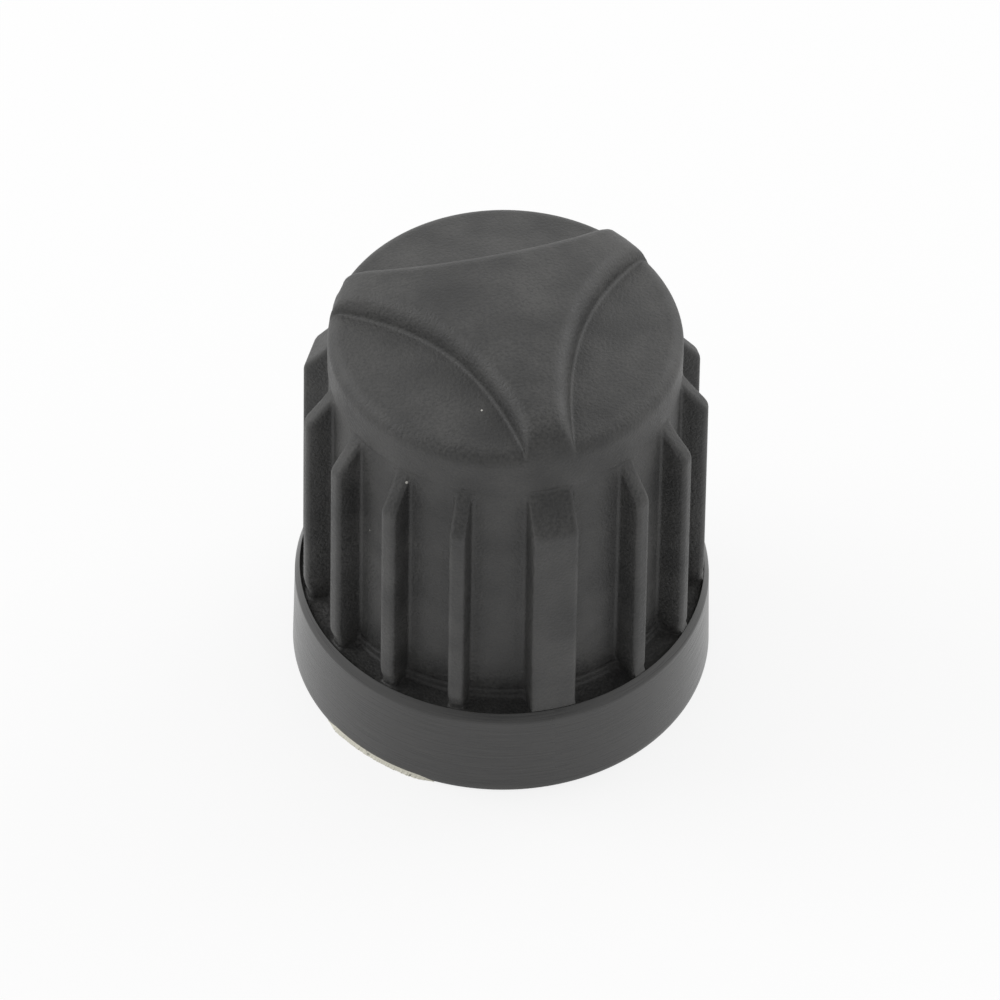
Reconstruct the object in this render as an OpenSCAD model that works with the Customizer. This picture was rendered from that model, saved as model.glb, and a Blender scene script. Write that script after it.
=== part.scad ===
// Dust cap for a car tyre valve, moulded in one piece.
// It stands on its open base, with its axis along Z and the origin in the middle of the base.

/* [Bore] */
// Diameter of the bore's wall, at the roots of the valve thread
thread_d = 7.8; // [7.7:0.05:8]
// Depth of the plain skirt inside the mouth
skirt_len = 1.5; // [1:0.1:2]
// How much further out the skirt's wall is than the bore's
skirt_out = 0.55; // [0.3:0.01:0.55]
// Width of the chamfer round the mouth
mouth_chamfer = 0.25; // [0.1:0.05:0.4]
// Width of the tapered seat at the bore's closed end
seat_w = 1.1; // [0.8:0.05:1.4]
// Depth of the recess over the valve's pin, above the seat
recess_depth = 0.6; // [0.5:0.05:0.8]
// Radius of the recess's rounded end
recess_round = 0.45; // [0.2:0.05:0.5]
// Thickness of plastic from the recess to the level of the crown's rim
crown_wall = 1.17; // [0.8:0.01:1.6]

/* [Wall] */
// Overall height, to the top of the raised middle
cap_h = 12.58; // [12:0.01:13.2]
// Thickness of the wall between the ribs, from the crown's side to the bore
wall_t = 0.61; // [0.56:0.01:0.8]
// How much further out the wall is at its foot
wall_flare = 0.11; // [0.06:0.01:0.15]
// Height of the step round the wall's foot, above the lip
foot_step_h = 0.14; // [0.05:0.01:0.3]
// Width of that step
foot_step_w = 0.08; // [0.03:0.01:0.15]
// Radius of the fillet where the step rises from the gutter
foot_fillet = 0.1; // [0.04:0.01:0.15]
// Height and depth of the fine step that the mould's parting leaves round the crown
witness_step = 0.03; // [0.01:0.01:0.06]
// Distance of that step below the crown's rim
witness_drop = 1.22; // [0.6:0.01:1.35]

/* [Ribs] */
// Number of wide ribs, each in line with a ridge of the crown
wide_ribs = 3; // [2:1:3]
// Number of narrow ribs between two wide ones
narrow_ribs = 4; // [2:1:5]
// Width of a wide rib
wide_rib_w = 1.18; // [0.6:0.02:1.6]
// Width of a narrow rib
narrow_rib_w = 0.42; // [0.3:0.02:0.6]
// Angle from a wide rib to the next narrow one
wide_angle = 28; // [24:0.5:32]
// How far the ribs stand out from the crown's side, at their shoulders
rib_out = 0.69; // [0.5:0.01:0.8]
// How much further out the ribs' faces are at the lip
rib_flare = 0.08; // [0.02:0.01:0.15]
// Radius of the ribs' long edges
rib_edge = 0.13; // [0.04:0.01:0.14]
// Height of the sloping shoulders, from the ribs' faces to the wall
shoulder_h = 0.9; // [0.4:0.05:1.4]
// Distance of the shoulders' upper end below the crown's rim
shoulder_drop = 1.42; // [1.4:0.01:2]
// How far the narrow ribs' toes are rounded back from the lip
toe_in = 0.18; // [0.05:0.01:0.3]
// Radius of that rounding
toe_round = 1.1; // [0.6:0.1:2]

/* [Base band] */
// Height of the band's side
band_h = 2.52; // [1.8:0.02:3.4]
// How much further out the band is at its foot
band_flare = 0.08; // [0:0.01:0.2]
// Width of the small break along the foot of the band
foot_break = 0.06; // [0.02:0.01:0.15]
// Height of the sloping lip above the band's side
lip_h = 0.27; // [0.1:0.01:0.5]
// Width of that lip, from the ribs' faces to the band's side
lip_w = 0.14; // [0.05:0.01:0.3]
// Depth of the gutter between the lip and the wall
gutter_depth = 0.08; // [0.02:0.01:0.2]

/* [Crown] */
// Height of the raised middle above the level of the rim
crown_rise = 1.06; // [0.95:0.01:1.4]
// Rise of the scoops' floors from the rim to the axis
floor_rise = 0.7; // [0.3:0.01:0.75]
// Radius of the rim's rounded edge
rim_round = 0.45; // [0.1:0.01:0.5]
// Radius of the raised top's dome
dome_r = 16; // [14:0.5:40]
// Radius of the ridges' rounded outer ends
ridge_round = 1.1; // [0.4:0.05:1.5]
// Number of scoops, and of the ridges between them
scoops = 3; // [3:1:4]
// Radius in plan of a scoop's wall
scoop_r = 9.5; // [6:0.1:14]
// Distance from the axis to the middle of a scoop's wall
scoop_in = 1.97; // [1.7:0.01:2.6]
// Lean of a scoop's wall away from upright
scoop_lean = 12; // [4:1:20]
// Radius of the rounding from a scoop's wall into the top
scoop_round = 0.45; // [0.1:0.01:0.5]

/* [Hidden] */
$fn = 96;
arc_steps = 8;
// overlap of cuts and joined solids
over = 0.5;
// room between a rib's flat face and the section that ends it above and below
face_room = 0.05;
// radii, from the bore outwards
thread_r = thread_d / 2;
recess_r = thread_r - seat_w;
skirt_r = thread_r + skirt_out;
crown_r = thread_r + wall_t;
foot_step_r = crown_r + wall_flare;
rib_top_r = crown_r + rib_out;
lip_r = rib_top_r + rib_flare;
band_top_r = lip_r + lip_w;
band_r = band_top_r + band_flare;
// the ribs end inside the wall, half way to the bore
wall_core_r = (crown_r + thread_r) / 2;
// heights, from the foot up and from the top down
lip_z = band_h + lip_h;
gutter_z = lip_z - gutter_depth;
rim_z = cap_h - crown_rise;
witness_z = rim_z - witness_drop;
shoulder_top_z = rim_z - shoulder_drop;
shoulder_z = shoulder_top_z - shoulder_h;
recess_end_z = rim_z - crown_wall;
seat_end_z = recess_end_z - recess_depth;
thread_end_z = seat_end_z - seat_w;
thread_z = skirt_len + skirt_out;
// slopes, angles and the scoops' own centre
rib_draft = atan(rib_flare / (shoulder_z - lip_z));
shoulder_slope = shoulder_h / rib_out;
narrow_angle = (360 / wide_ribs - 2 * wide_angle) / (narrow_ribs - 1);
floor_angle = atan(floor_rise / crown_r);
floor_mid_z = rim_z + floor_rise * (1 - scoop_in / crown_r);
top_mid_z = cap_h - dome_r + sqrt(dome_r * dome_r - scoop_in * scoop_in);
scoop_axis = scoop_in + scoop_r;

// Points of an arc, from one angle to another
function arc(centre, r, from, to) = [
    for (i = [0 : arc_steps])
        let (a = from + (to - from) * i / arc_steps)
            centre + r * [cos(a), sin(a)]
];

// Outline of the outside, turned: band, gutter, drafted wall, crown's side, ridge end and dome
module turned_blank() {
    dome_centre = [0, cap_h - dome_r];
    end_a = acos((crown_r - ridge_round) / (dome_r - ridge_round));
    end_centre = dome_centre + (dome_r - ridge_round) * [cos(end_a), sin(end_a)];
    rotate_extrude()
        polygon(concat(
            [
                [0, 0],
                [band_r - foot_break, 0],
                [band_r, foot_break],
                [band_top_r, band_h],
                [lip_r, lip_z],
                [lip_r - gutter_depth / 2, gutter_z],
            ],
            arc([foot_step_r + foot_fillet, gutter_z + foot_fillet], foot_fillet, 270, 180),
            [
                [foot_step_r, lip_z + foot_step_h],
                [foot_step_r - foot_step_w, lip_z + foot_step_h],
                [crown_r - witness_step, witness_z - witness_step],
                [crown_r, witness_z],
            ],
            arc(end_centre, ridge_round, 0, end_a),
            arc(dome_centre, dome_r, end_a, 90)
        ));
}

// Space above the scoops' conical floors and the rounded rim
module above_floor() {
    rotate_extrude()
        polygon(concat(
            arc([crown_r - rim_round, rim_z - rim_round], rim_round, 0, 90 - floor_angle),
            [
                [0, rim_z + floor_rise],
                [0, cap_h + over],
                [crown_r + over, cap_h + over],
                [crown_r + over, rim_z - rim_round],
            ]
        ));
}

// Ring with a leaning wall, rounded out at its top, turned about an upright axis beside the crown
module scoop() {
    foot_z = rim_z - rim_round - over;
    lean = tan(scoop_lean);
    round_z = top_mid_z - scoop_round;
    // centre of the rounding, so that the leaning wall runs into it
    round_x = scoop_r + scoop_round * cos(scoop_lean)
        + (round_z + scoop_round * sin(scoop_lean) - floor_mid_z) * lean;
    inner_x = scoop_axis - crown_r - over;
    translate([0, -scoop_axis, 0])
        rotate_extrude()
            polygon(concat(
                [[inner_x, foot_z], [scoop_r - (floor_mid_z - foot_z) * lean, foot_z]],
                arc([round_x, round_z], scoop_round, 180 - scoop_lean, 90),
                [[round_x, cap_h + over], [inner_x, cap_h + over]]
            ));
}

// What the scoops take off the dome, which leaves the raised top and its ridges
module scoops() {
    intersection() {
        above_floor();
        for (i = [0 : scoops - 1])
            rotate(360 / scoops * (i + 0.5)) scoop();
    }
}

// Section that ends the ribs: toe below, room along the face, sloping shoulder above
module rib_section(toe) {
    toe_a = acos(1 - toe / toe_round);
    polygon(concat(
        [[wall_core_r, gutter_z - over], [lip_r - toe, gutter_z - over]],
        toe > 0
            ? arc([lip_r - toe_round, lip_z + toe_round * sin(toe_a)], toe_round, -toe_a, 0)
            : [[lip_r, lip_z]],
        [
            [lip_r + face_room, lip_z + toe_round * sin(toe_a) + face_room],
            [rib_top_r + face_room, shoulder_z - face_room * shoulder_slope],
            [wall_core_r, shoulder_top_z + (crown_r - wall_core_r) * shoulder_slope],
        ]
    ));
}

// One rib's bar, drafted, with rounded long edges; its face starts at the lip, towards -Y
module rib_bar(w) {
    depth = lip_r - wall_core_r;
    translate([0, -lip_r, lip_z])
        rotate([-rib_draft, 0, 0])
            translate([0, 0, -over])
                linear_extrude(shoulder_top_z - lip_z + 2 * over)
                    polygon(concat(
                        [[w / 2, depth], [-w / 2, depth]],
                        arc([rib_edge - w / 2, rib_edge], rib_edge, 180, 270),
                        arc([w / 2 - rib_edge, rib_edge], rib_edge, 270, 360)
                    ));
}

// Ribs of one kind: a list of angles, the bars' width and how far their toes are set back
module rib_set(angles, w, toe) {
    intersection() {
        rotate_extrude() rib_section(toe);
        for (a = angles)
            rotate(a) rib_bar(w);
    }
}

module ribs() {
    wide = [for (i = [0 : wide_ribs - 1]) 360 / wide_ribs * i];
    narrow = [for (a = wide, j = [0 : narrow_ribs - 1]) a + wide_angle + narrow_angle * j];
    rib_set(wide, wide_rib_w, 0);
    rib_set(narrow, narrow_rib_w, toe_in);
}

// Hollow inside, turned: mouth chamfer, plain skirt, lead-in, thread bore, tapered seat and recess
module bore() {
    rotate_extrude()
        polygon(concat(
            [
                [0, -over],
                [skirt_r + mouth_chamfer + over, -over],
                [skirt_r, mouth_chamfer],
                [skirt_r, skirt_len],
                [thread_r, thread_z],
                [thread_r, thread_end_z],
                [recess_r, seat_end_z],
            ],
            arc([recess_r - recess_round, recess_end_z - recess_round], recess_round, 0, 90),
            [[0, recess_end_z]]
        ));
}

module valve_cap() {
    color("#3b3b3a")
        difference() {
            union() {
                turned_blank();
                ribs();
            }
            scoops();
            bore();
        }
}

valve_cap();
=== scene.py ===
import math

import bmesh
import bpy
import numpy as np
from mathutils import Matrix, Vector
from mathutils.geometry import delaunay_2d_cdt


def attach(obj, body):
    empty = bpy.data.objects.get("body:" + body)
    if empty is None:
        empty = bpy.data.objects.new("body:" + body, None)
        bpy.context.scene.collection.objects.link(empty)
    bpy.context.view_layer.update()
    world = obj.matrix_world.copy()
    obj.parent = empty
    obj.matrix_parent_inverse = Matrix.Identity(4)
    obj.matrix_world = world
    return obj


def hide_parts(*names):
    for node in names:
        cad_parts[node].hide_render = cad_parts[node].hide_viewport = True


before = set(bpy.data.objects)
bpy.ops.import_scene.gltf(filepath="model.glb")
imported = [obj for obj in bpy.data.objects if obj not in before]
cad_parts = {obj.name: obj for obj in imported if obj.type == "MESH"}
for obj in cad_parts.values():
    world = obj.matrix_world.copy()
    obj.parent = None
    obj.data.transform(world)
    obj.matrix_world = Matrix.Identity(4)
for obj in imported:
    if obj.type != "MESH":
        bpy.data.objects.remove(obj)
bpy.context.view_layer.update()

# Sizes in millimetres, as the part's source works them out. MM turns them into metres.
MM = 0.001

# Bore, from the mouth to the closed end
THREAD_R = 3.9
SKIRT_R = 4.45
SKIRT_Z = 1.5
MOUTH_CHAMFER = 0.25
THREAD_Z = 2.05
THREAD_END_Z = 8.65
SEAT_END_Z = 9.75
RECESS_R = 2.8
RECESS_END_Z = 10.35
RECESS_ROUND = 0.45
# Valve thread: crest radius of the cap's own thread, and its pitch
CREST_R = 3.52
PITCH = 0.794

# Ring round the foot, just inside the solid's own facets
BAND_R = 5.494
BAND_TOP_R = 5.42
BAND_Z = 2.52
FOOT_BREAK = 0.06
LIP_R = 5.28
LIP_Z = 2.79
GUTTER_R = 5.24
GUTTER_Z = 2.71

# Wall behind the ribs
CROWN_R = 4.51
WITNESS_Z = 10.3
WITNESS_STEP = 0.03
STEP_R = 4.62
STEP_Z = 2.93
STEP_W = 0.08

# Ribs
WIDE_RIBS = 3
NARROW_RIBS = 4
WIDE_ANGLE = 28.0
WIDE_W = 1.18
NARROW_W = 0.42
RIB_TOP_R = 5.2
RIB_EDGE = 0.13
RIB_FILLET = 0.09
SHOULDER_Z = 9.2
SHOULDER_TOP_Z = 10.1
TOE_ROUND = 1.1

# Crown
CAP_H = 12.58
RIM_Z = 11.52
RIM_ROUND = 0.45
FLOOR_RISE = 0.7
DOME_R = 16.0
RIDGE_ROUND = 1.1
SCOOPS = 3
SCOOP_R = 9.5
SCOOP_IN = 1.97
SCOOP_LEAN = math.radians(12)
SCOOP_ROUND = 0.45
CREASE_ROUND = 0.1


def smooth(edge0, edge1, x):
    """Smooth step from 0 at edge0 to 1 at edge1."""
    t = np.clip((x - edge0) / (edge1 - edge0), 0.0, 1.0)
    return t * t * (3 - 2 * t)


def turned(radius, angle, z):
    """Points at a radius and an angle in degrees, counted anticlockwise from -Y."""
    a = np.radians(angle)
    return np.stack(np.broadcast_arrays(radius * np.sin(a), -radius * np.cos(a), z), -1)


# Crown, as a height over the plan
SCOOP_AXIS = SCOOP_IN + SCOOP_R
RIM_IN = CROWN_R - RIM_ROUND
RIM_ANGLE = math.atan(FLOOR_RISE / CROWN_R)
S_MAX = RIM_IN + RIM_ROUND * math.pi / 2


def floor_height(r):
    """Conical floor of the scoops, with the rim's rounded edge."""
    join_r = RIM_IN + RIM_ROUND * math.sin(RIM_ANGLE)
    join_z = RIM_Z - RIM_ROUND + RIM_ROUND * math.cos(RIM_ANGLE)
    cone = RIM_Z + FLOOR_RISE + (join_z - RIM_Z - FLOOR_RISE) * r / join_r
    edge = RIM_Z - RIM_ROUND + np.sqrt(np.maximum(RIM_ROUND**2 - np.maximum(r - RIM_IN, 0) ** 2, 0))
    return np.where(r < join_r, cone, edge)


def top_height(r):
    """Dome over the whole crown, with the ridges' rounded outer ends."""
    centre_r = CROWN_R - RIDGE_ROUND
    end_a = math.acos(centre_r / (DOME_R - RIDGE_ROUND))
    end_z = CAP_H - DOME_R + (DOME_R - RIDGE_ROUND) * math.sin(end_a)
    dome = CAP_H - DOME_R + np.sqrt(DOME_R**2 - r**2)
    end = end_z + np.sqrt(np.maximum(RIDGE_ROUND**2 - np.maximum(r - centre_r, 0) ** 2, 0))
    return np.where(r < DOME_R * math.cos(end_a), dome, end)


FLOOR_MID_Z = float(floor_height(np.array(SCOOP_IN)))


def wall_radius(z):
    """Radius of a scoop's leaning wall about the scoop's own axis, at a height."""
    return SCOOP_R + (z - FLOOR_MID_Z) * math.tan(SCOOP_LEAN)


def scoop_profile(rho, low, high):
    """Height across one scoop's wall: floor, small fillet, leaning wall, rounding into the top."""
    gap = np.maximum(high - low, 1e-6)
    top_q = np.minimum(SCOOP_ROUND, gap * 0.75)
    low_q = np.minimum(CREASE_ROUND, gap * 0.2)
    cos_l, sin_l, tan_l = math.cos(SCOOP_LEAN), math.sin(SCOOP_LEAN), math.tan(SCOOP_LEAN)
    top_z = high - top_q
    top_rho = wall_radius(top_z + top_q * sin_l) + top_q * cos_l
    low_z = low + low_q
    low_rho = wall_radius(low_z - low_q * sin_l) - low_q * cos_l
    wall = FLOOR_MID_Z + (rho - SCOOP_R) / tan_l
    top_arc = top_z + np.sqrt(np.maximum(top_q**2 - (top_rho - rho) ** 2, 0))
    low_arc = low_z - np.sqrt(np.maximum(low_q**2 - (rho - low_rho) ** 2, 0))
    height = np.where(rho > top_rho - top_q * cos_l, top_arc, wall)
    height = np.where(rho > top_rho, high, height)
    height = np.where(rho < low_rho + low_q * cos_l, low_arc, height)
    return np.where(rho < low_rho, low, height)


def scoop_centres():
    """Plan positions of the scoops' upright axes."""
    return [turned(SCOOP_AXIS, 360 / SCOOPS * (i + 0.5), 0)[:2] for i in range(SCOOPS)]


def crown_height(x, y):
    r = np.minimum(np.hypot(x, y), CROWN_R)
    low = floor_height(r)
    high = top_height(r)
    height = high
    for cx, cy in scoop_centres():
        height = np.minimum(height, scoop_profile(np.hypot(x - cx, y - cy), low, high))
    return height


def spread(r):
    """Radius in the plan to radius in the unrolled plan, where the rounded rim lies flat."""
    past = np.clip((r - RIM_IN) / RIM_ROUND, 0, 1)
    return np.where(r < RIM_IN, r, RIM_IN + RIM_ROUND * np.arcsin(past))


def gather(s):
    """The other way round."""
    return np.where(s < RIM_IN, s, RIM_IN + RIM_ROUND * np.sin((s - RIM_IN) / RIM_ROUND))


def wall_rows(step):
    """Points along and across the walls of the scoops, in plan, and a test for points near them."""
    end_a = math.asin(CROWN_R * math.sin(math.radians(56)) / SCOOP_R)
    count = int(2 * end_a * SCOOP_R / step)
    alphas = np.linspace(-end_a, end_a, count)
    rows = []
    for i, (cx, cy) in enumerate(scoop_centres()):
        inward = math.atan2(-cy, -cx)
        for a in alphas:
            along = inward + a
            rho = SCOOP_R
            for _ in range(3):
                r = np.minimum(np.hypot(cx + rho * math.cos(along), cy + rho * math.sin(along)), CROWN_R)
                low, high = float(floor_height(r)), float(top_height(r))
                rho = wall_radius(low)
            gap = max(high - low, 1e-3)
            top_q = min(SCOOP_ROUND, gap * 0.75)
            low_q = min(CREASE_ROUND, gap * 0.2)
            foot = wall_radius(low)
            head = wall_radius(high - top_q) + top_q
            offsets = [foot - low_q - 0.05, foot - low_q]
            offsets += list(foot - low_q * np.cos(np.radians([50, 70, 90])))
            offsets += list(np.linspace(foot + 0.01, wall_radius(high - top_q), 4)[1:])
            offsets += list(head - top_q * np.cos(np.radians([20, 35, 50, 65, 78, 90])))
            offsets += [head + 0.06]
            for rho in offsets:
                rows.append((cx + rho * math.cos(along), cy + rho * math.sin(along)))
    return np.array(rows)


def near_walls(x, y, margin):
    """True where a point of the plan lies on or close to a scoop's wall."""
    r = np.minimum(np.hypot(x, y), CROWN_R)
    low, high = floor_height(r), top_height(r)
    near = np.zeros(x.shape, bool)
    for cx, cy in scoop_centres():
        rho = np.hypot(x - cx, y - cy)
        past_foot = rho > wall_radius(low) - CREASE_ROUND - margin
        near |= past_foot & (rho < wall_radius(high) + SCOOP_ROUND + margin)
    return near


def crown_points(ring_angles):
    """Plan points of the crown in the unrolled plan: outer ring first, then walls, rim and field."""
    outer = turned(S_MAX, ring_angles, 0)[:, :2]
    walls = wall_rows(0.06)
    r = np.hypot(walls[:, 0], walls[:, 1])
    walls = walls[r < CROWN_R * 0.9996]
    r = np.hypot(walls[:, 0], walls[:, 1])
    walls = walls / r[:, None] * spread(r)[:, None]
    sets = [walls]
    rim_s = np.arange(S_MAX - 0.05, RIM_IN - 0.2, -0.055)
    for s in rim_s:
        sets.append(turned(s, ring_angles, 0)[:, :2])
    pitch = 0.12
    rows = int(2 * RIM_IN / (pitch * 0.866)) + 2
    for j in range(rows):
        y = -RIM_IN + j * pitch * 0.866
        x = np.arange(-RIM_IN + (j % 2) * pitch / 2, RIM_IN, pitch)
        row = np.stack([x, np.full_like(x, y)], -1)
        sets.append(row[np.hypot(row[:, 0], row[:, 1]) < rim_s[-1] - pitch * 0.6])
    for k in range(1, len(sets)):
        pts = sets[k]
        r = np.hypot(pts[:, 0], pts[:, 1])
        plan = pts / np.maximum(r, 1e-9)[:, None] * gather(r)[:, None]
        sets[k] = pts[~near_walls(plan[:, 0], plan[:, 1], 0.05)]
    return np.vstack([outer] + sets)


def crown_surface(ring_angles):
    """Vertices and faces of the crown's top; the first vertices are its outer ring."""
    pts = crown_points(ring_angles)
    verts, _, faces, orig, _, _ = delaunay_2d_cdt([Vector(p) for p in pts], [], [], 0, 1e-7)
    flat = np.array([tuple(v) for v in verts])
    s = np.hypot(flat[:, 0], flat[:, 1])
    plan = flat / np.maximum(s, 1e-9)[:, None] * gather(np.minimum(s, S_MAX))[:, None]
    z = crown_height(plan[:, 0], plan[:, 1])
    order = [None] * len(ring_angles)
    for new, olds in enumerate(orig):
        for old in olds:
            if old < len(ring_angles):
                order[old] = new
    return np.column_stack([plan, z]), [tuple(f) for f in faces], order


# Side, as a loft of rings whose columns follow the ribs
WIDE_FLAT = (0.14, 0.28, 0.42, 0.445, 0.47, 0.495, 0.52, 0.55, 0.58, 0.61, 0.65, 0.70, 0.76)
NARROW_FLAT = (0.08, 0.11, 0.14, 0.17, 0.20, 0.23, 0.26, 0.29, 0.32, 0.35, 0.38)
EDGE_TURNS = np.radians([22.5, 45, 67.5, 90])
SIDE_STEPS = (1 / 3, 2 / 3)
FILLET_TURNS = np.radians([0, 30, 60, 90])


def rib_list():
    """Each rib's angle, width and how far its toe is set back, going round from -Y."""
    ribs = []
    pitch = (360 / WIDE_RIBS - 2 * WIDE_ANGLE) / (NARROW_RIBS - 1)
    for i in range(WIDE_RIBS):
        start = 360 / WIDE_RIBS * i
        ribs.append((start, WIDE_W, 0.0))
        for j in range(NARROW_RIBS):
            angle = start + WIDE_ANGLE + pitch * j
            ribs.append((angle, NARROW_W, 0.22 if angle > 180 else 0.08))
    return ribs


def columns():
    """Columns of the loft, one dictionary each, anticlockwise from the first rib's left fillet."""
    ribs = rib_list()
    cols = []
    for k, (angle, width, toe) in enumerate(ribs):
        flat = WIDE_FLAT if width == WIDE_W else NARROW_FLAT
        face_steps = len(flat) - len(EDGE_TURNS) - len(SIDE_STEPS) - len(FILLET_TURNS)
        half = [("face", (n + 1) / face_steps) for n in range(face_steps)]
        half += [("edge", t) for t in EDGE_TURNS]
        half += [("side", t) for t in SIDE_STEPS]
        half += [("fillet", t) for t in FILLET_TURNS]
        rib = dict(angle=angle, width=width, toe=toe, half_flat=flat[-1])
        left = [dict(rib=rib, side=-1, kind=kd, at=t, flat=-f) for (kd, t), f in zip(half, flat)]
        right = [dict(rib=rib, side=1, kind=kd, at=t, flat=f) for (kd, t), f in zip(half, flat)]
        cols += left[::-1] + [dict(rib=rib, side=1, kind="face", at=0.0, flat=0.0)] + right
        after = ribs[(k + 1) % len(ribs)]
        turn = (after[0] - angle) % 360
        steps = round(turn / 2.6) - 2
        next_flat = (WIDE_FLAT if after[1] == WIDE_W else NARROW_FLAT)[-1]
        for n in range(steps):
            cols.append(dict(rib=rib, side=0, kind="flute", at=(n + 1) / (steps + 1), turn=turn,
                             next_width=after[1], next_flat=next_flat))
    return cols


def rib_face(z, toe):
    """Distance of a rib's face from the axis, at a height."""
    draft = (LIP_R - RIB_TOP_R) / (SHOULDER_Z - LIP_Z)
    face = LIP_R - (z - LIP_Z) * draft
    slope = (SHOULDER_TOP_Z - SHOULDER_Z) / (RIB_TOP_R - CROWN_R)
    shoulder = RIB_TOP_R - (z - SHOULDER_Z) / slope
    face = soft_min(face, shoulder, 0.1)
    if toe > 0:
        top = LIP_Z + math.sqrt(TOE_ROUND**2 - (TOE_ROUND - toe) ** 2)
        if z < top:
            face -= TOE_ROUND - math.sqrt(max(TOE_ROUND**2 - (top - z) ** 2, (TOE_ROUND - toe) ** 2))
    return face


def soft_min(a, b, blend):
    """Smaller of two values, with a rounded change from one to the other."""
    mix = max(blend - abs(a - b), 0) / blend
    return min(a, b) - mix * mix * blend / 4


def wall_at(z, step=WITNESS_STEP):
    """Radius of the wall between the ribs, with the fine step under the crown."""
    low_r, low_z = STEP_R - STEP_W, STEP_Z
    high_r, high_z = CROWN_R - WITNESS_STEP, WITNESS_Z - WITNESS_STEP
    wall = low_r + (high_r - low_r) * (z - low_z) / (high_z - low_z)
    wall += (WITNESS_STEP - step) * smooth(SHOULDER_TOP_Z - 1, WITNESS_Z, z)
    return wall if z < high_z else CROWN_R


def column_place(col, z):
    """Angle and radius of a column at a height above the gutter."""
    rib = col["rib"]
    wall = wall_at(z)
    if col["kind"] == "flute":
        height = max(rib_face(z, 0) - wall, 0)
        grown = float(smooth(0, 0.25, height))
        fillet = min(RIB_FILLET, 0.4 * height)
        ends = []
        for width, flat in ((rib["width"], rib["half_flat"]), (col["next_width"], col["next_flat"])):
            free = math.degrees(math.asin(flat / CROWN_R))
            full = math.degrees(math.asin((width / 2 + fillet) / wall))
            ends.append(free + (full - free) * grown)
        return rib["angle"] + ends[0] + (col["turn"] - ends[0] - ends[1]) * col["at"], wall
    half = rib["width"] / 2
    face = rib_face(z, rib["toe"])
    height = max(face - math.sqrt(wall**2 - half**2), 0)
    fillet = min(RIB_FILLET, 0.4 * height)
    edge = min(RIB_EDGE, 0.5 * height)
    base = math.sqrt(wall**2 - half**2)
    if col["kind"] == "face":
        x, g = (half - edge) * col["at"], face
    elif col["kind"] == "edge":
        x, g = half - edge + edge * math.sin(col["at"]), face - edge + edge * math.cos(col["at"])
    elif col["kind"] == "side":
        x, g = half, face - edge + (base + fillet - face + edge) * col["at"]
    else:
        x, g = half + fillet * (1 - math.cos(col["at"])), base + fillet * (1 - math.sin(col["at"]))
        if col["at"] == FILLET_TURNS[-1]:
            g = math.sqrt(wall**2 - x * x)
    grown = float(smooth(0, 0.25, height))
    full = math.degrees(math.atan2(x, g))
    free = math.degrees(math.asin(abs(col["flat"]) / CROWN_R))
    radius = wall + (math.hypot(x, g) - wall) * (1 if height > 0 else 0)
    return rib["angle"] + col["side"] * (free + (full - free) * grown), radius


def free_angle(col):
    """Angle of a column on the plain rings above and below the ribs."""
    rib = col["rib"]
    if col["kind"] == "flute":
        ends = [math.degrees(math.asin(f / CROWN_R)) for f in (rib["half_flat"], col["next_flat"])]
        return rib["angle"] + ends[0] + (col["turn"] - ends[0] - ends[1]) * col["at"]
    return rib["angle"] + math.degrees(math.asin(col["flat"] / CROWN_R))


GUTTER_ROWS = 9


def gutter_row(col, row):
    """Angle, radius and height of a column on one of the rows from the wall's foot to the lip."""
    angle, start = column_place(col, STEP_Z + 0.02)
    free = free_angle(col)
    ribness = float(smooth(0.1, 0.25, start - wall_at(STEP_Z + 0.02)))
    step = STEP_W * (1 - ribness)
    foot = start + step
    room = GUTTER_R - foot
    if room < 0.03:
        t = (row + 1) / GUTTER_ROWS
        return angle + (free - angle) * t, start + (LIP_R - start) * t, STEP_Z + (LIP_Z - STEP_Z) * t
    f = min(0.09, room * 0.5)
    path = [
        (start + step * 0.9, STEP_Z),
        (foot, STEP_Z - 0.012),
        (foot, GUTTER_Z + f),
        (foot + f * 0.29, GUTTER_Z + f * 0.29),
        (foot + f, GUTTER_Z),
        (foot + f + (room - f) * 0.5, GUTTER_Z),
        (GUTTER_R - 0.005, GUTTER_Z),
        (GUTTER_R + 0.006, GUTTER_Z + 0.012),
        (LIP_R, LIP_Z),
    ]
    turn = (0, 0, 0, 0.1, 0.25, 0.6, 1, 1, 1)[row]
    return (angle + (free - angle) * turn, *path[row])


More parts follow.
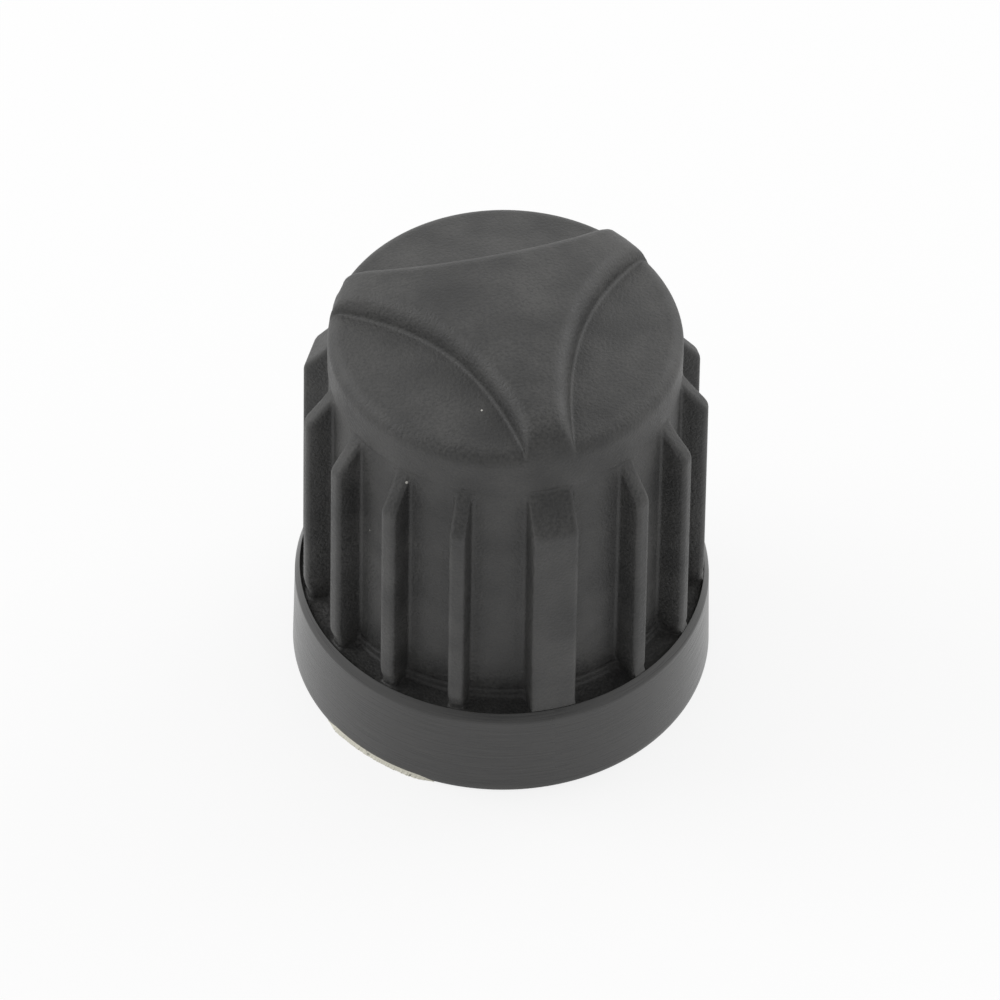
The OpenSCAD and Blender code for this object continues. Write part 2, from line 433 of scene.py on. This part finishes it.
def side_rings():
    """Rings of points from just under the rim to the foot, and the angles of the plain ones."""
    cols = columns()
    free = np.array([free_angle(c) for c in cols])
    rings = []
    for z in (10.95, 10.75, 10.55, 10.4, 10.34, WITNESS_Z):
        rings.append(turned(CROWN_R, free, z))
    heights = [WITNESS_Z - WITNESS_STEP, 10.2, 10.14]
    heights += list(np.arange(10.1, 9.0, -0.06)) + list(np.arange(9.0, 3.9, -0.3))
    heights += list(np.arange(3.9, STEP_Z + 0.08, -0.09)) + [STEP_Z + 0.02]
    for z in heights:
        places = np.array([column_place(c, z) for c in cols])
        rings.append(turned(places[:, 1], places[:, 0], z))
    for row in range(GUTTER_ROWS):
        places = np.array([gutter_row(c, row) for c in cols])
        rings.append(turned(places[:, 1], places[:, 0], places[:, 2]))
    outline = [(LIP_R + 0.012, LIP_Z + 0.004)]
    outline += [(LIP_R + 0.03, LIP_Z - 0.02), (BAND_TOP_R - 0.02, BAND_Z + 0.05)]
    outline += [(BAND_TOP_R, BAND_Z + 0.012), (BAND_TOP_R + 0.002, BAND_Z - 0.03)]
    for z in np.linspace(2.3, 0.2, 8):
        outline.append((BAND_R + (BAND_TOP_R - BAND_R) * (z - FOOT_BREAK) / (BAND_Z - FOOT_BREAK), z))
    for a in np.radians([0, 30, 60, 90]):
        outline.append((BAND_R - FOOT_BREAK * (1 - math.cos(a)), FOOT_BREAK * (1 - math.sin(a))))
    for r, z in outline:
        rings.append(turned(r, free, z))
    return rings, free


# Inside, with the valve thread
BORE_COLUMNS = 144


def thread_radius(angle, z):
    """Wall of the bore with its thread: rounded crests on a helix, run out at both ends."""
    turn = (z / PITCH - angle / 360) % 1.0
    ridge = smooth(0.12, 0.4, 0.5 - np.abs(turn - 0.5))
    run = smooth(THREAD_Z, THREAD_Z + PITCH, z) * (1 - smooth(THREAD_END_Z - PITCH / 2, THREAD_END_Z, z))
    return THREAD_R - (THREAD_R - CREST_R) * ridge * run


def bore_rings():
    """Rings of the inside, from the foot's inner edge to the closed end."""
    angles = np.arange(BORE_COLUMNS) * 360 / BORE_COLUMNS
    rings = []
    outline = [(SKIRT_R + MOUTH_CHAMFER, 0), (SKIRT_R + 0.02, MOUTH_CHAMFER - 0.02)]
    outline += [(SKIRT_R, MOUTH_CHAMFER + 0.03), (SKIRT_R, 0.8), (SKIRT_R, SKIRT_Z - 0.03), (SKIRT_R - 0.02, SKIRT_Z + 0.03)]
    outline += [(THREAD_R + 0.03, THREAD_Z - 0.04)]
    for r, z in outline:
        rings.append(turned(r, angles, z))
    for z in np.linspace(THREAD_Z + 0.02, THREAD_END_Z, int((THREAD_END_Z - THREAD_Z) / PITCH * 12)):
        rings.append(turned(thread_radius(angles, z), angles, z))
    closed = [(THREAD_R - 0.04, THREAD_END_Z + 0.03), (RECESS_R + 0.03, SEAT_END_Z - 0.02)]
    closed += [(RECESS_R, SEAT_END_Z + 0.04)]
    for a in np.radians([0, 30, 60, 90]):
        in_by, down_by = RECESS_ROUND * (1 - math.cos(a)), RECESS_ROUND * (1 - math.sin(a))
        closed.append((RECESS_R - in_by, RECESS_END_Z - down_by))
    closed += [(1.2, RECESS_END_Z), (0.3, RECESS_END_Z)]
    for r, z in closed:
        rings.append(turned(r, angles, z))
    return rings, angles


def face_outwards(mesh):
    """Turns every face of a closed mesh to the outside."""
    shell = bmesh.new()
    shell.from_mesh(mesh)
    bmesh.ops.recalc_face_normals(shell, faces=shell.faces)
    shell.to_mesh(mesh)
    shell.free()


class Skin:
    """Vertices and faces of the moulding, gathered ring by ring. Materials go by name of the zone."""

    def __init__(self):
        self.verts, self.faces, self.zones = [], [], []

    def add(self, points):
        start = len(self.verts)
        self.verts += [tuple(p) for p in points]
        return list(range(start, len(self.verts)))

    def strip(self, upper, lower, zone):
        """Quads between two rings of the same number of points; outside rings run anticlockwise."""
        n = len(upper)
        for i in range(n):
            j = (i + 1) % n
            self.faces.append((upper[i], lower[i], lower[j], upper[j]))
            self.zones.append(zone)

    def zip(self, outer, outer_angles, inner, inner_angles, zone):
        """Triangles between two rings of different numbers of points, by their angles."""
        outer_order = sorted(range(len(outer)), key=lambda i: outer_angles[i] % 360)
        inner_order = sorted(range(len(inner)), key=lambda i: inner_angles[i] % 360)
        a = [outer_angles[i] % 360 for i in outer_order] + [outer_angles[outer_order[0]] % 360 + 360]
        b = [inner_angles[i] % 360 for i in inner_order] + [inner_angles[inner_order[0]] % 360 + 360]
        i = j = 0
        while i < len(outer) or j < len(inner):
            o, n = outer[outer_order[i % len(outer)]], inner[inner_order[j % len(inner)]]
            if j >= len(inner) or (i < len(outer) and a[i + 1] <= b[j + 1]):
                self.faces.append((o, n, outer[outer_order[(i + 1) % len(outer)]]))
                i += 1
            else:
                self.faces.append((o, n, inner[inner_order[(j + 1) % len(inner)]]))
                j += 1
            self.zones.append(zone)


ZONES = ("grained", "smooth", "inside")


def build_moulding():
    """The whole cap as one closed mesh, in metres."""
    rings, free = side_rings()
    skin = Skin()
    crown, faces, order = crown_surface(free)
    skin.add(crown)
    skin.faces += faces
    skin.zones += ["grained"] * len(faces)
    last = order
    plain_from = len(rings) - 18
    for k, ring in enumerate(rings):
        ids = skin.add(ring)
        skin.strip(last, ids, "grained" if k < plain_from else "smooth")
        last = ids
    inner, angles = bore_rings()
    ids = skin.add(inner[0])
    skin.zip(last, free, ids, angles, "smooth")
    last = ids
    for ring in inner[1:]:
        ids = skin.add(ring)
        skin.strip(last, ids, "inside")
        last = ids
    skin.faces.append(tuple(last))
    skin.zones.append("inside")
    mesh = bpy.data.meshes.new("valve_cap_moulding")
    mesh.from_pydata([tuple(c * MM for c in v) for v in skin.verts], [], skin.faces)
    mesh.polygons.foreach_set("material_index", [ZONES.index(z) for z in skin.zones])
    face_outwards(mesh)
    mesh.polygons.foreach_set("use_smooth", [True] * len(mesh.polygons))
    mesh.set_sharp_from_angle(angle=math.radians(50))
    cap = bpy.data.objects.new("cap_moulding", mesh)
    bpy.context.scene.collection.objects.link(cap)
    return cap


# Thin ragged flash that the mould left round part of the foot
FLASH_FROM, FLASH_TO = -70.0, -33.0
FLASH_OUT = 0.09
FLASH_H = 0.05


def build_flash():
    """Closed thin fin along the foot's edge, its outer edge ragged and its ends run out."""
    rng = np.random.default_rng(11)
    angles = np.linspace(FLASH_FROM, FLASH_TO, 120)
    ends = smooth(0, 5, angles - FLASH_FROM) * smooth(0, 5, FLASH_TO - angles)
    ragged = np.convolve(rng.uniform(0.45, 1.0, angles.size + 4), np.ones(5) / 5, "valid")
    ragged += rng.uniform(-0.12, 0.12, angles.size)
    out = BAND_R + FLASH_OUT * np.clip(ragged, 0.2, 1.0) * ends
    root = BAND_R - FOOT_BREAK
    loops = [
        turned(root, angles, 0.0),
        turned(out, angles, 0.004),
        turned(out - 0.01, angles, FLASH_H * 0.5),
        turned(BAND_R - 0.004, angles, FOOT_BREAK + FLASH_H * ends),
    ]
    verts = np.concatenate(loops)
    n, faces = angles.size, []
    for k in range(len(loops)):
        a, b = k * n, (k + 1) % len(loops) * n
        faces += [(a + i, a + i + 1, b + i + 1, b + i) for i in range(n - 1)]
    faces += [tuple(k * n for k in range(len(loops)))[::-1]]
    faces += [tuple(k * n + n - 1 for k in range(len(loops)))]
    mesh = bpy.data.meshes.new("foot_flash")
    mesh.from_pydata([tuple(c * MM for c in v) for v in verts], [], faces)
    face_outwards(mesh)
    fin = bpy.data.objects.new("foot_flash", mesh)
    bpy.context.scene.collection.objects.link(fin)
    return fin


# Materials
PLASTIC = (0.03, 0.03, 0.0295, 1)
WORN = (0.11, 0.108, 0.104, 1)
DUST = (0.55, 0.54, 0.5, 1)
# Pale colour of the flash is painted light: it stands in for the bright light the thin fin catches along the
# foot's edge, not the plastic's own colour
FLASH_PAINTED_LIGHT = (0.74, 0.72, 0.62, 1)


def node_group(name, inputs, outputs):
    """Empty shader group with named sockets, and its input and output nodes."""
    group = bpy.data.node_groups.new(name, "ShaderNodeTree")
    for label, kind, value in inputs:
        socket = group.interface.new_socket(label, in_out="INPUT", socket_type=kind)
        if value is not None:
            socket.default_value = value
    for label, kind in outputs:
        group.interface.new_socket(label, in_out="OUTPUT", socket_type=kind)
    return group, group.nodes.new("NodeGroupInput"), group.nodes.new("NodeGroupOutput")


def math_node(nodes, links, operation, a, b):
    """Math node whose inputs are sockets or numbers."""
    node = nodes.new("ShaderNodeMath")
    node.operation = operation
    for socket, value in zip(node.inputs, (a, b)):
        if isinstance(value, (int, float)):
            socket.default_value = value
        else:
            links.new(value, socket)
    return node.outputs[0]


def noise_node(nodes, links, vector, scale, detail):
    node = nodes.new("ShaderNodeTexNoise")
    node.inputs["Detail"].default_value = detail
    links.new(vector, node.inputs["Vector"])
    if isinstance(scale, (int, float)):
        node.inputs["Scale"].default_value = scale
    else:
        links.new(scale, node.inputs["Scale"])
    return node.outputs["Fac"]


def mould_grain():
    """Spark-eroded surface: fine pits over a slow cloudiness."""
    group, start, end = node_group(
        "mould_grain",
        [("Vector", "NodeSocketVector", None), ("Scale", "NodeSocketFloat", 11000.0)],
        [("Height", "NodeSocketFloat"), ("Tone", "NodeSocketFloat")],
    )
    nodes, links = group.nodes, group.links
    pits = noise_node(nodes, links, start.outputs["Vector"], start.outputs["Scale"], 3.0)
    cloud = noise_node(nodes, links, start.outputs["Vector"], 700.0, 2.0)
    links.new(pits, end.inputs["Height"])
    links.new(math_node(nodes, links, "MULTIPLY", pits, cloud), end.inputs["Tone"])
    return group


def round_streaks():
    """Fine lines that run round the axis, as polishing leaves them on a turned mould."""
    group, start, end = node_group(
        "round_streaks",
        [
            ("Vector", "NodeSocketVector", None),
            ("Along", "NodeSocketFloat", 3.0),
            ("Across", "NodeSocketFloat", 16000.0),
        ],
        [("Height", "NodeSocketFloat")],
    )
    nodes, links = group.nodes, group.links
    split = nodes.new("ShaderNodeSeparateXYZ")
    links.new(start.outputs["Vector"], split.inputs[0])
    turn = math_node(nodes, links, "ARCTAN2", split.outputs["X"], split.outputs["Y"])
    join = nodes.new("ShaderNodeCombineXYZ")
    links.new(math_node(nodes, links, "MULTIPLY", turn, start.outputs["Along"]), join.inputs["X"])
    links.new(math_node(nodes, links, "MULTIPLY", split.outputs["Z"], start.outputs["Across"]), join.inputs["Z"])
    links.new(noise_node(nodes, links, join.outputs[0], 1.0, 3.0), end.inputs["Height"])
    return group


def dust_specks():
    """Mask of few small specks of settled dust."""
    group, start, end = node_group(
        "dust_specks",
        [
            ("Vector", "NodeSocketVector", None),
            ("Scale", "NodeSocketFloat", 1500.0),
            ("Size", "NodeSocketFloat", 0.055),
            ("Rarity", "NodeSocketFloat", 0.93),
        ],
        [("Mask", "NodeSocketFloat")],
    )
    nodes, links = group.nodes, group.links
    cells = nodes.new("ShaderNodeTexVoronoi")
    links.new(start.outputs["Vector"], cells.inputs["Vector"])
    links.new(start.outputs["Scale"], cells.inputs["Scale"])
    near = math_node(nodes, links, "LESS_THAN", cells.outputs["Distance"], start.outputs["Size"])
    picked = nodes.new("ShaderNodeSeparateColor")
    links.new(cells.outputs["Color"], picked.inputs[0])
    rare = math_node(nodes, links, "GREATER_THAN", picked.outputs[0], start.outputs["Rarity"])
    links.new(math_node(nodes, links, "MULTIPLY", near, rare), end.inputs["Mask"])
    return group


def mix_colour(nodes, links, factor, a, b):
    """Colour mixed from a to b by a socket; a and b are colours or sockets."""
    node = nodes.new("ShaderNodeMix")
    node.data_type = "RGBA"
    links.new(factor, node.inputs["Factor"])
    for socket, value in ((node.inputs["A"], a), (node.inputs["B"], b)):
        if isinstance(value, tuple):
            socket.default_value = value
        else:
            links.new(value, socket)
    return node.outputs["Result"]


def place(nodes, links, group, vector, **values):
    """A group in a material, with the object's coordinates and its own values."""
    node = nodes.new("ShaderNodeGroup")
    node.node_tree = group
    links.new(vector, node.inputs["Vector"])
    for label, value in values.items():
        node.inputs[label].default_value = value
    return node.outputs


def map_range(nodes, links, value, low, high, to_low, to_high):
    node = nodes.new("ShaderNodeMapRange")
    links.new(value, node.inputs["Value"])
    for socket, number in zip(node.inputs[1:5], (low, high, to_low, to_high)):
        socket.default_value = number
    return node.outputs["Result"]


def plastic(name, groups, roughness, spread_of, relief, streaked):
    """Dark moulding plastic: grain or streaks in tone, roughness and bump, with dust on it."""
    material = bpy.data.materials.new(name)
    material.use_nodes = True
    nodes, links = material.node_tree.nodes, material.node_tree.links
    shader = nodes["Principled BSDF"]
    coords = nodes.new("ShaderNodeTexCoord").outputs["Object"]
    if streaked:
        height = place(nodes, links, groups["streaks"], coords)["Height"]
        tone = map_range(nodes, links, height, 0.3, 0.75, 0, 0.3)
    else:
        grain = place(nodes, links, groups["grain"], coords, Scale=13000.0)
        height = grain["Height"]
        tone = map_range(nodes, links, grain["Tone"], 0.14, 0.4, 0, 0.5)
    dust = place(nodes, links, groups["dust"], coords)["Mask"]
    colour = mix_colour(nodes, links, tone, PLASTIC, WORN)
    links.new(mix_colour(nodes, links, dust, colour, DUST), shader.inputs["Base Color"])
    rough = map_range(nodes, links, height, 0.3, 0.7, roughness - spread_of, roughness + spread_of)
    links.new(rough, shader.inputs["Roughness"])
    bump = nodes.new("ShaderNodeBump")
    bump.inputs["Strength"].default_value = 0.55
    bump.inputs["Distance"].default_value = relief * MM
    links.new(height, bump.inputs["Height"])
    links.new(bump.outputs["Normal"], shader.inputs["Normal"])
    shader.inputs["IOR"].default_value = 1.5
    return material


def flash_painted_light_material(groups):
    """Thin fin in a pale colour with dark grain spots; the pale colour is painted light, standing in for the
    bright light that the thin fin catches.
    """
    material = bpy.data.materials.new("flash_with_painted_light")
    material.use_nodes = True
    nodes, links = material.node_tree.nodes, material.node_tree.links
    shader = nodes["Principled BSDF"]
    coords = nodes.new("ShaderNodeTexCoord").outputs["Object"]
    grain = place(nodes, links, groups["grain"], coords, Scale=6000.0)
    dull = map_range(nodes, links, grain["Height"], 0.62, 0.7, 0, 0.6)
    # Painted light: the pale colour stands in for light on the thin fin; grain spots mix back to the dark
    # plastic
    links.new(mix_colour(nodes, links, dull, FLASH_PAINTED_LIGHT, PLASTIC), shader.inputs["Base Color"])
    shader.inputs["Roughness"].default_value = 0.5
    bump = nodes.new("ShaderNodeBump")
    bump.inputs["Distance"].default_value = 0.01 * MM
    links.new(grain["Height"], bump.inputs["Height"])
    links.new(bump.outputs["Normal"], shader.inputs["Normal"])
    return material


# Camera and light. The floor lies a hair lower than the foot, so that the two don't coincide.
FLOOR_GAP = 0.00002
VIEW_TURN = math.radians(-15.3)
VIEW_RISE = math.radians(46.893)
VIEW_ROLL = math.radians(0.935)
VIEW_TARGET = Vector((0, 0, 0.006))
VIEW_DISTANCE = 0.18
VIEW_BACK = Vector((
    math.sin(VIEW_TURN) * math.cos(VIEW_RISE),
    -math.cos(VIEW_TURN) * math.cos(VIEW_RISE),
    math.sin(VIEW_RISE),
))


def add_camera():
    right = Vector((math.cos(VIEW_TURN), math.sin(VIEW_TURN), 0))
    up = VIEW_BACK.cross(right)
    data = bpy.data.cameras.new("camera")
    data.lens = 251.0
    data.sensor_width = 36.0
    data.shift_x = -0.00337
    data.shift_y = -0.02233
    data.clip_start = 0.01
    camera = bpy.data.objects.new("camera", data)
    turn = Matrix((right, up, VIEW_BACK)).transposed().to_4x4()
    place_at = Matrix.Translation(VIEW_TARGET + VIEW_BACK * VIEW_DISTANCE)
    camera.matrix_world = place_at @ turn @ Matrix.Rotation(VIEW_ROLL, 4, "Z")
    bpy.context.scene.collection.objects.link(camera)
    bpy.context.scene.camera = camera


def add_world():
    """White surroundings, darker in front, where the room is; the background shows white."""
    world = bpy.data.worlds.new("light_tent")
    world.use_nodes = True
    bpy.context.scene.world = world
    nodes, links = world.node_tree.nodes, world.node_tree.links
    background = nodes["Background"]
    direction = nodes.new("ShaderNodeTexCoord").outputs["Generated"]
    dot = nodes.new("ShaderNodeVectorMath")
    dot.operation = "DOT_PRODUCT"
    links.new(direction, dot.inputs[0])
    dot.inputs[1].default_value = VIEW_BACK
    level = map_range(nodes, links, dot.outputs["Value"], 0.35, 0.9, 1.0, 0.35)
    seen = nodes.new("ShaderNodeLightPath").outputs["Is Camera Ray"]
    links.new(math_node(nodes, links, "MAXIMUM", level, seen), background.inputs["Strength"])
    background.inputs["Color"].default_value = (1, 1, 1, 1)


def add_lamp(name, position, size, power):
    data = bpy.data.lights.new(name, "AREA")
    data.size = size
    data.energy = power
    lamp = bpy.data.objects.new(name, data)
    lamp.location = position
    lamp.rotation_euler = (VIEW_TARGET - Vector(position)).to_track_quat("-Z", "Y").to_euler()
    bpy.context.scene.collection.objects.link(lamp)


def add_floor():
    """Pale floor that shows white and keeps the cap's soft shadow."""
    bpy.ops.mesh.primitive_plane_add(size=2.0, location=(0, 0, -FLOOR_GAP))
    floor = bpy.context.object
    floor.name = "floor"
    material = bpy.data.materials.new("pale_floor")
    material.use_nodes = True
    nodes, links = material.node_tree.nodes, material.node_tree.links
    nodes.remove(nodes["Principled BSDF"])
    matte = nodes.new("ShaderNodeBsdfDiffuse")
    matte.inputs["Color"].default_value = (0.85, 0.85, 0.85, 1)
    white = nodes.new("ShaderNodeEmission")
    mix = nodes.new("ShaderNodeMixShader")
    path = nodes.new("ShaderNodeLightPath")
    seen = math_node(nodes, links, "MAXIMUM", path.outputs["Is Camera Ray"], path.outputs["Is Glossy Ray"])
    links.new(math_node(nodes, links, "MULTIPLY", seen, 0.8), mix.inputs[0])
    links.new(matte.outputs[0], mix.inputs[1])
    links.new(white.outputs[0], mix.inputs[2])
    white.inputs["Strength"].default_value = 1.03
    links.new(mix.outputs[0], nodes["Material Output"].inputs["Surface"])
    floor.data.materials.append(material)


bpy.context.scene.view_settings.view_transform = "Standard"
add_camera()
add_world()
add_lamp("left_lamp", (-0.25, 0.12, 0.2), 0.2, 0.35)
add_lamp("right_lamp", (0.28, 0.1, 0.16), 0.2, 0.25)
add_floor()

shared = {"grain": mould_grain(), "streaks": round_streaks(), "dust": dust_specks()}
cap = build_moulding()
cap.data.materials.append(plastic("grained_plastic", shared, 0.55, 0.12, 0.04, False))
cap.data.materials.append(plastic("polished_ring_plastic", shared, 0.3, 0.07, 0.006, True))
cap.data.materials.append(plastic("bore_plastic", shared, 0.4, 0.08, 0.004, True))
flash = build_flash()
flash.data.materials.append(flash_painted_light_material(shared))
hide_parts("valve_cap")
for piece in (cap, flash):
    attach(piece, "root")
